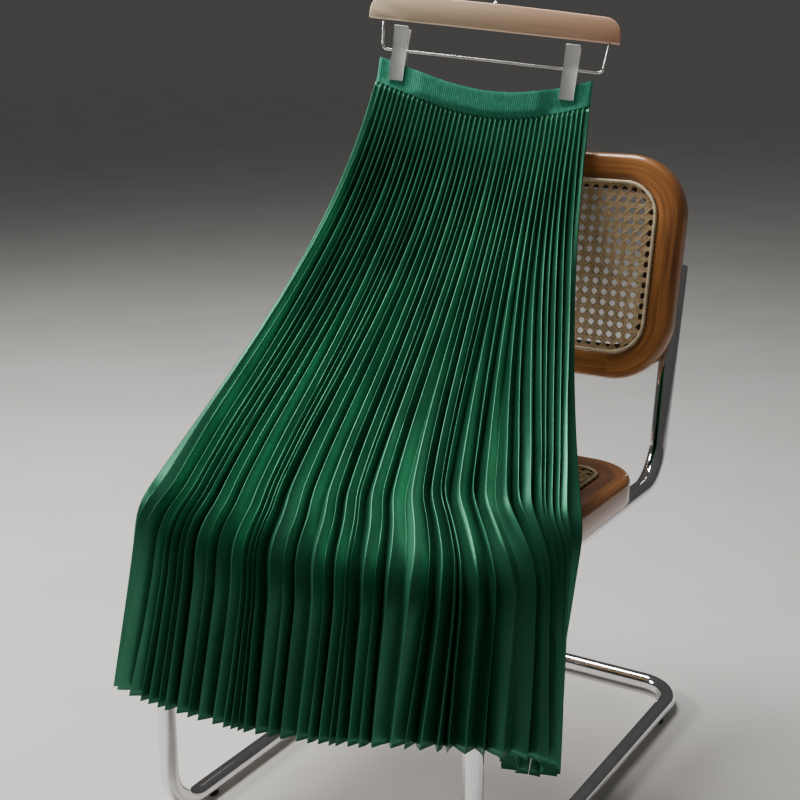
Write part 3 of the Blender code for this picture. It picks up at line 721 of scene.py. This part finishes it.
def build_hanger(bar_wood, steel, white):
    """The wooden bar, its wire, the hook and the two clips."""
    low, high = BAR_ENDS
    length = high - low
    radius = 0.024
    outline = []
    for k in range(31):
        outline.append((low + length * k / 30, 0.0))
    for k in range(15):
        angle = math.radians(90.0 / 14 * k)
        outline.append((high - radius + radius * math.cos(angle), BAR_HEIGHT - radius + radius * math.sin(angle)))
    for k in range(1, 20):
        f = k / 20
        top = BAR_HEIGHT + 0.002 * math.sin(math.pi * f)
        outline.append((high - radius - (length - 2 * radius) * f, top))
    for k in range(15):
        angle = math.radians(90.0 + 90.0 / 14 * k)
        outline.append((low + radius + radius * math.cos(angle), BAR_HEIGHT - radius + radius * math.sin(angle)))
    outline = np.array(outline)
    middle = np.array((low + length / 2, BAR_HEIGHT / 2))
    half = BAR_DEPTH / 2
    rings = []
    for out, shrink in ((-half, 0.0020), (-half + 0.0006, 0.0007), (-half + 0.0020, 0.0),
                        (half - 0.0020, 0.0), (half - 0.0006, 0.0007), (half, 0.0020)):
        flat = outline - np.clip((outline - middle) / 0.012, -1, 1) * shrink
        rings.append(hanger_place([(a, out, BAR_UP + u) for a, u in flat]))
    vertices, faces, _ = swept(rings, False)
    ring = np.array([(a - low, u) for a, u in outline])
    flat = np.concatenate([ring] * len(rings))
    uv = np.concatenate([flat[face] for face in faces])
    add_piece("hanger_bar_wood", vertices, faces, bar_wood, ("hanger_bar",), uv, 40)

    left, right = WIRE_ENDS
    top = BAR_UP - GAP
    corners = [(left, 0, top), (left + 0.0035, 0, WIRE_UP), (right - 0.0035, 0, WIRE_UP), (right, 0, top)]
    path = rounded_path(corners, (0.008, 0.008), 14)
    vertices, faces, uv = swept([hanger_place(r) for r in tube_rings(path, WIRE_RADIUS, 24)], False)
    add_piece("hanger_wire_steel", vertices, faces, steel, ("hanger_wire",), uv, 40)

    centre = low + length / 2
    seat = BAR_UP + BAR_HEIGHT + 0.002 + GAP
    rings = []
    steps = ((0.0, 0.0046), (0.0003, 0.0050), (0.0013, 0.0050), (0.0017, 0.0046), (0.0030, 0.0042),
             (0.0058, 0.0039), (0.0068, 0.0036), (0.0074, 0.0032), (0.0075, 0.0028))
    for up, wide in steps:
        angles = np.arange(32) * 2 * math.pi / 32
        ring = np.stack([centre + wide * np.cos(angles), wide * np.sin(angles), np.full(32, seat + up)], 1)
        rings.append(hanger_place(ring))
    vertices, faces, uv = swept(rings, False)
    add_piece("hanger_ferrule_steel", vertices, faces, steel, ("hanger_ferrule",), uv, 35)

    stem = seat + 0.0075 + GAP
    path = [(centre, 0.0, stem), (centre, 0.0, stem + 0.005), (centre, 0.0, stem + 0.010)]
    middle = stem + 0.022 + HOOK_BEND
    for k in range(49):
        angle = math.radians(-75.0 - 14.0 * 16 * k / 48)
        path.append((centre - HOOK_BEND * math.cos(angle), 0.0, middle + HOOK_BEND * math.sin(angle)))
    rings = tube_rings(np.array(path), HOOK_RADIUS, 24, True)
    vertices, faces, uv = swept([hanger_place(r) for r in rings], False)
    add_piece("hanger_hook_steel", vertices, faces, steel, ("hanger_hook",), uv, 40)
    for name, centre in zip(("clip_left", "clip_right"), CLIP_AT):
        build_clip(name, centre, white, steel)


def rim_section(rim, thick):
    """A wooden rim's section: an eased outer side, a ridge, and a front that slopes down to the cane."""
    return (
        (0.0034, 0.0), (0.0012, 0.0010), (0.0, 0.0034), (0.0, thick * 0.45), (0.0, thick - 0.0085),
        (0.0009, thick - 0.0052), (0.0030, thick - 0.0024), (0.0062, thick - 0.0006), (0.0095, thick),
        (0.0125, thick - 0.0003), (rim * 0.55, thick - 0.0010), (rim - 0.0065, thick - 0.0016),
        (rim - 0.0022, thick - 0.0022), (rim - 0.0006, thick - 0.0030), (rim, thick - 0.0042),
        (rim, 0.0012), (rim - 0.0012, 0.0),
    )


def build_rim(name, size, low, high, place, material):
    """A bent wooden frame, one closed sweep of its section."""
    outline = rounded_outline(size["half_width"], low, high, size["corner"], 20)
    loops = []
    for depth, height in rim_section(size["rim"], size["thick"]):
        flat = inset(outline, depth)
        loops.append(place(np.concatenate([flat, np.full((len(flat), 1), height)], 1)))
    vertices, faces, uv = swept(list(np.stack(loops, 1)), True)
    return add_piece(f"{name}_wood", vertices, faces, material, (f"{name}_frame",), uv, 50)


def clipped(point, direction, outline):
    """The stretch of a line that lies inside a convex outline, as two distances along it, or None."""
    low = -10.0
    high = 10.0
    for start, end in zip(outline, np.roll(outline, -1, axis=0)):
        side = end - start
        normal = np.array((-side[1], side[0]))
        speed = float(normal @ direction)
        room = float(normal @ (point - start))
        if abs(speed) < 1e-12:
            if room < 0:
                return None
            continue
        if speed > 0:
            low = max(low, -room / speed)
        else:
            high = min(high, -room / speed)
    return (low, high) if high - low > 0.004 else None


def strand(point, direction, reach, wave, level, phase, place):
    """One flat cane strand over and under its neighbours, as rings of four points."""
    low, high = reach
    side = np.array((-direction[1], direction[0])) * STRAND / 2
    steps = max(2, int(math.ceil((high - low) / (CANE_PITCH * 0.5))))
    rings = []
    for t in np.linspace(low, high, steps + 1):
        at = point + direction * t
        height = level + wave * math.sin(2 * math.pi * t / (CANE_PITCH * 2) + phase)
        ring = []
        for edge, lift in ((-1, -0.00022), (-1, 0.0001), (1, 0.0001), (1, -0.00022)):
            flat = at + side * edge
            ring.append((flat[0], flat[1], height + lift + 0.00014))
        rings.append(place(np.array(ring)))
    return rings


def build_cane(name, outline, place, top, cane, ledge_shade, bead):
    """Woven cane: pairs both ways and single diagonals, on a ledge whose dark colour is painted shade beneath the
    cane, held by a round bead.
    """
    inside = inset(outline, GAP)
    centre = (inside.max(axis=0) + inside.min(axis=0)) / 2
    extent = (inside.max(axis=0) - inside.min(axis=0)) / 2
    middle = top - 0.0009
    runs = []
    for axis in (0, 1):
        direction = np.eye(2)[axis]
        other = np.eye(2)[1 - axis]
        count = int(extent[1 - axis] / CANE_PITCH) + 1
        for k in range(-count, count + 1):
            for pair in (-1, 1):
                point = centre + other * (k * CANE_PITCH + pair * 0.0016)
                level = middle + (0.00028 if axis == 0 else -0.00005)
                runs.append((point, direction, 0.00022 * pair * (1 if axis == 0 else 0.4), level, math.pi * (k % 2)))
    count = int(extent.sum() / CANE_PITCH) + 2
    for turn, level in ((1, 0.00055), (-1, -0.0004)):
        direction = unit(np.array((1.0, float(turn))))
        other = np.array((0.0, 1.0))
        for k in range(-count, count + 1):
            point = centre + other * ((k + 0.5) * CANE_PITCH)
            runs.append((point, direction, 0.0001, middle + level, 0.5 * k))
    parts = []
    faces = []
    first = 0
    for point, direction, wave, level, phase in runs:
        reach = clipped(point, direction, inside)
        if reach is None:
            continue
        vertices, quads, _ = swept(strand(point, direction, reach, wave, level, phase, place), False)
        parts.append(vertices)
        faces += [[first + k for k in quad] for quad in quads]
        first += len(vertices)
    add_piece(f"{name}_weave", np.concatenate(parts), faces, cane, (f"{name}_cane",), None, 30)

    # A thin ledge just under the cane along its edge, in near-black wood: painted shade beneath the cane.
    low = top - 0.0030
    rings = []
    for depth, height in ((0.0, low), (0.0, low + 0.0010), (0.0125, low + 0.0010), (0.0125, low)):
        flat = inset(inside, depth)
        rings.append(place(np.concatenate([flat, np.full((len(flat), 1), height)], 1)))
    vertices, quads, uv = swept(list(np.stack(rings, 1)), True)
    add_piece(f"{name}_ledge", vertices, quads, ledge_shade, (), uv, 40)

    line = inset(outline, GAP + BEAD)
    normal = unit(inset(line, 0.001) - line)
    height = top + GAP + BEAD * math.sin(math.pi / 3)
    rings = []
    for point, inwards in zip(line, normal):
        angles = np.arange(16) * 2 * math.pi / 16
        flat = point + inwards * BEAD * np.cos(angles)[:, None]
        rings.append(place(np.concatenate([flat, (height + BEAD * 0.8 * np.sin(angles))[:, None]], 1)))
    vertices, quads, uv = swept(rings, True)
    add_piece(f"{name}_spline", vertices, quads, bead, (f"{name}_bead",), uv, None)


def build_chair(chrome, frame_wood, ledge_shade, cane, bead, rubber):
    """The bent tube, the two wooden frames, their cane and the glides."""
    rise = TOP_UP - RAIL_UP
    half = [
        (HALF_SPAN, RAIL_BACK + rise * math.tan(BACK_LEAN), TOP_UP),
        (HALF_SPAN, RAIL_BACK, RAIL_UP),
        (HALF_SPAN, 0.0, RAIL_UP),
        (HALF_SPAN, 0.0, FLOOR_TUBE),
        (HALF_SPAN, BASE_DEPTH, FLOOR_TUBE),
    ]
    corners = half + [(-x, y, z) for x, y, z in half[::-1]]
    path = rounded_path(corners, (0.060, 0.060, 0.060, 0.055, 0.055, 0.060, 0.060, 0.060), 20)
    vertices, faces, uv = swept(tube_rings(path, TUBE, 48, True), False)
    add_piece("chair_tube_chrome", vertices, faces, chrome, ("chair_tube",), uv, 40)
    for name, size, low, high, place in (
        ("seat", SEAT, SEAT["front"], SEAT["front"] + SEAT["depth"], seat_place),
        ("back", BACK, -BACK["height"] / 2, BACK["height"] / 2, back_place),
    ):
        build_rim(name, size, low, high, place, frame_wood)
        inner = inset(rounded_outline(size["half_width"], low, high, size["corner"], 20), size["rim"])
        build_cane(name, inner, place, size["thick"] - CANE_DROP, cane, ledge_shade, bead)
    for name in ("glide_front_right", "glide_front_left", "glide_rear_right", "glide_rear_left"):
        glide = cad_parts[name]
        glide.data.materials.clear()
        glide.data.materials.append(rubber)


def add_light(name, at, target, size, power, colour):
    """A soft square light that faces a point."""
    lamp = bpy.data.lights.new(name, "AREA")
    lamp.size = size
    lamp.energy = power
    lamp.color = colour
    thing = bpy.data.objects.new(name, lamp)
    thing.location = at
    thing.rotation_mode = "QUATERNION"
    thing.rotation_quaternion = (Vector(target) - Vector(at)).to_track_quat("-Z", "Y")
    bpy.context.scene.collection.objects.link(thing)


def build_stage():
    """A plain pale floor, a dim world, soft light from the left and from overhead, and the camera."""
    floor_material = plain("floor_paint", (0.70, 0.69, 0.67), (0.74, 0.73, 0.71), 0.9, scale=3.0)
    mesh = bpy.data.meshes.new("floor")
    mesh.from_pydata([(-12, -12, 0), (12, -12, 0), (12, 12, 0), (-12, 12, 0)], [], [(0, 1, 2, 3)])
    mesh.materials.append(floor_material)
    floor = bpy.data.objects.new("floor", mesh)
    bpy.context.scene.collection.objects.link(floor)

    world = bpy.data.worlds.new("studio")
    bpy.context.scene.world = world
    world.use_nodes = True
    tree = world.node_tree
    background = tree.nodes["Background"]
    coordinates = tree.nodes.new("ShaderNodeTexCoord")
    split = node(tree, "ShaderNodeSeparateXYZ", None, Vector=coordinates.outputs["Generated"])
    ramp = tree.nodes.new("ShaderNodeValToRGB")
    ramp.color_ramp.elements[0].position = 0.0
    ramp.color_ramp.elements[0].color = (0.62, 0.60, 0.58, 1.0)
    ramp.color_ramp.elements[1].position = 1.0
    ramp.color_ramp.elements[1].color = (0.9, 0.9, 0.9, 1.0)
    tree.links.new(split.outputs["Z"], ramp.inputs["Fac"])
    tree.links.new(ramp.outputs["Color"], background.inputs["Color"])
    background.inputs["Strength"].default_value = 0.10

    add_light("key", (-2.6, -0.9, 2.0), (0.0, -0.1, 0.6), 0.8, 60.0, (1.0, 0.97, 0.93))
    add_light("overhead", (-0.8, 0.2, 2.9), (-0.1, -0.1, 0.5), 1.2, 95.0, (1.0, 0.98, 0.96))

    data = bpy.data.cameras.new("camera")
    data.lens = CAMERA_LENS
    data.sensor_width = 36.0
    data.clip_end = 60.0
    camera = bpy.data.objects.new("camera", data)
    camera.location = Vector(CAMERA_AT - SHIFT)
    camera.rotation_mode = "QUATERNION"
    camera.rotation_quaternion = Vector(CAMERA_LOOK).to_track_quat("-Z", "Y")
    bpy.context.scene.collection.objects.link(camera)
    bpy.context.scene.camera = camera


def main():
    cloth = satin("green_satin")
    band = elastic("green_elastic")
    steel = plain("bright_steel", (0.80, 0.80, 0.79), (0.86, 0.86, 0.85), 0.22, 1.0)
    white = plain("white_enamel", (0.80, 0.81, 0.80), (0.86, 0.87, 0.86), 0.25, coat=0.5)
    bar_wood = bare_wood("pale_wood", (0.78, 0.62, 0.42), (0.72, 0.40, 0.25))
    chrome = plain("chrome", (0.82, 0.82, 0.83), (0.88, 0.88, 0.89), 0.07, 1.0)
    frame_wood = wood("varnished_wood", (0.150, 0.052, 0.016), (0.50, 0.205, 0.060), 0.30, 0.7)
    # Near-black wood for the ledge under the cane's edge: its darkness is painted shade beneath the cane.
    ledge_shade = wood("ledge_painted_shade", (0.045, 0.020, 0.010), (0.085, 0.038, 0.016), 0.6, 0.0)
    cane = plain("cane", (0.46, 0.31, 0.16), (0.66, 0.49, 0.29), 0.45, scale=180.0, relief=0.0002)
    bead = plain("cane_bead", (0.62, 0.50, 0.32), (0.76, 0.64, 0.44), 0.4, scale=90.0)
    rubber = plain("black_rubber", (0.02, 0.02, 0.02), (0.035, 0.035, 0.035), 0.6)
    panels, band_piece = build_skirt(cloth, band)
    build_hanger(bar_wood, steel, white)
    build_chair(chrome, frame_wood, ledge_shade, cane, bead, rubber)
    build_stage()


main()
